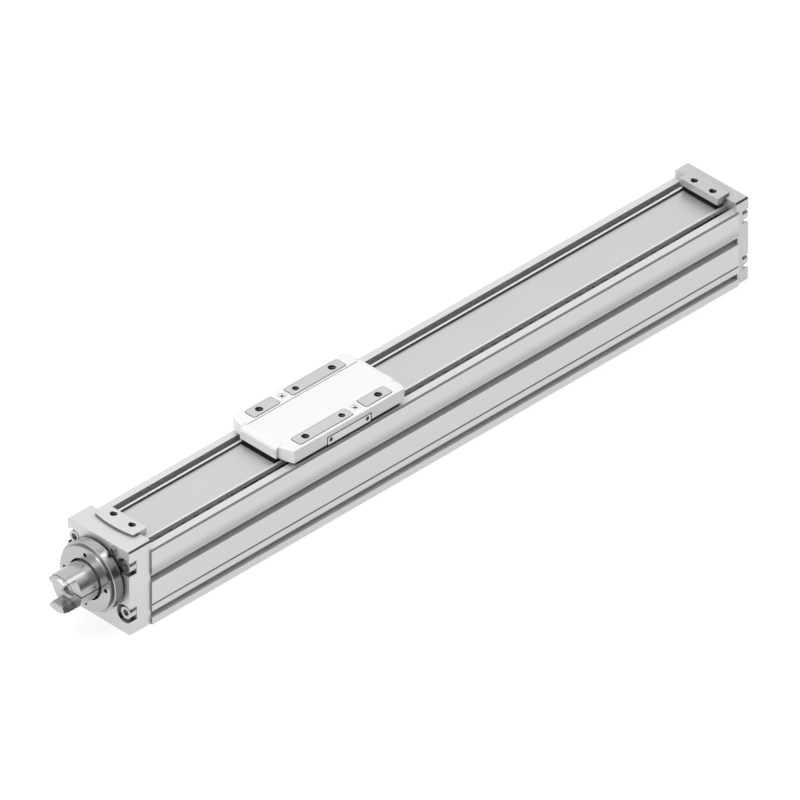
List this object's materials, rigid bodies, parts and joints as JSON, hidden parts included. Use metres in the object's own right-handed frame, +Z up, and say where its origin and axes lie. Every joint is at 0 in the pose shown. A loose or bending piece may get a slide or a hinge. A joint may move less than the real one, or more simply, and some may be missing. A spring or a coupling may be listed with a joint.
{
  "type": "electric linear actuator",
  "caption": "Screw-driven linear axis: aluminium body with fixed top cover, white carriage, cast end caps and jaw hub on the drive shaft.",
  "frame": {"origin": "centre of the flat underside of the extruded body, at mid length between the outer faces of the two end caps", "axes": "+X along the axis from the drive end to the idle end, +Y to the far side, +Z up from the underside through the carriage"},
  "size_m": [0.6402, 0.063, 0.0752],
  "materials": {
    "profile_aluminium": "matt silver anodised extrusion",
    "cover_aluminium": "matt silver anodised panel",
    "cap_aluminium": "matt machined caps",
    "table_aluminium": "machined table and pads",
    "collar_aluminium": "satin turned collar",
    "hub_aluminium": "satin turned hub",
    "screw_steel": "ground and rolled steel shaft",
    "bearing_steel": "ground bearing steel",
    "guide_steel": "ground guide steel",
    "fastener_steel": "plain steel fasteners",
    "plate_steel": "brushed stainless plate",
    "cover_plastic": "moulded white plastic",
    "seal_plastic": "dark moulded end seals",
    "black_rubber": "black elastomer",
    "magnet_metal": "plated magnet discs"
  },
  "bodies": {
    "frame": {"profile": "profile_aluminium", "top_cover": "cover_aluminium", "drive_cap": "cap_aluminium", "end_cap": "cap_aluminium", "drive_cap_screws": "fastener_steel", "end_cap_screws": "fastener_steel", "port_plug": "fastener_steel", "bearing_collar": "collar_aluminium", "shaft_seal": "black_rubber", "bearing_outer_rings": "bearing_steel", "idle_outer_ring": "bearing_steel", "guide_rail": "guide_steel", "rail_screws": "fastener_steel", "drive_buffer": "black_rubber", "idle_buffer": "black_rubber"},
    "screw": {"ball_screw": "screw_steel", "bearing_inner_rings": "bearing_steel", "idle_inner_ring": "bearing_steel", "circlip": "fastener_steel", "lock_nut": "fastener_steel", "spacer_sleeve": "bearing_steel", "coupling_hub": "hub_aluminium", "hub_clamp_screw": "fastener_steel"},
    "carriage": {"slide_table": "table_aluminium", "table_cover": "cover_plastic", "cover_screws": "fastener_steel", "drive_end_piece": "cover_plastic", "idle_end_piece": "cover_plastic", "drive_wiper": "black_rubber", "idle_wiper": "black_rubber", "near_side_plate": "plate_steel", "far_side_plate": "plate_steel", "side_plate_screws": "fastener_steel", "ball_nut": "bearing_steel", "nut_screws": "fastener_steel", "drive_runner": "guide_steel", "idle_runner": "guide_steel", "runner_seals": "seal_plastic", "runner_screws": "fastener_steel", "sensor_magnets": "magnet_metal"}
  },
  "joints": [
    {"name": "carriage_slide", "type": "slide", "parent": "frame", "child": "carriage", "axis": [1, 0, 0], "range_m": [-0.105, 0.295]},
    {"name": "screw_spin", "type": "hinge", "parent": "frame", "child": "screw", "pos_m": [0, 0, 0.039], "axis": [1, 0, 0], "range_deg": [-8860, 3160]}
  ],
  "couplings": [
    {"joint": "screw_spin", "follows": "carriage_slide", "rad_per_m": -523.6}
  ]
}
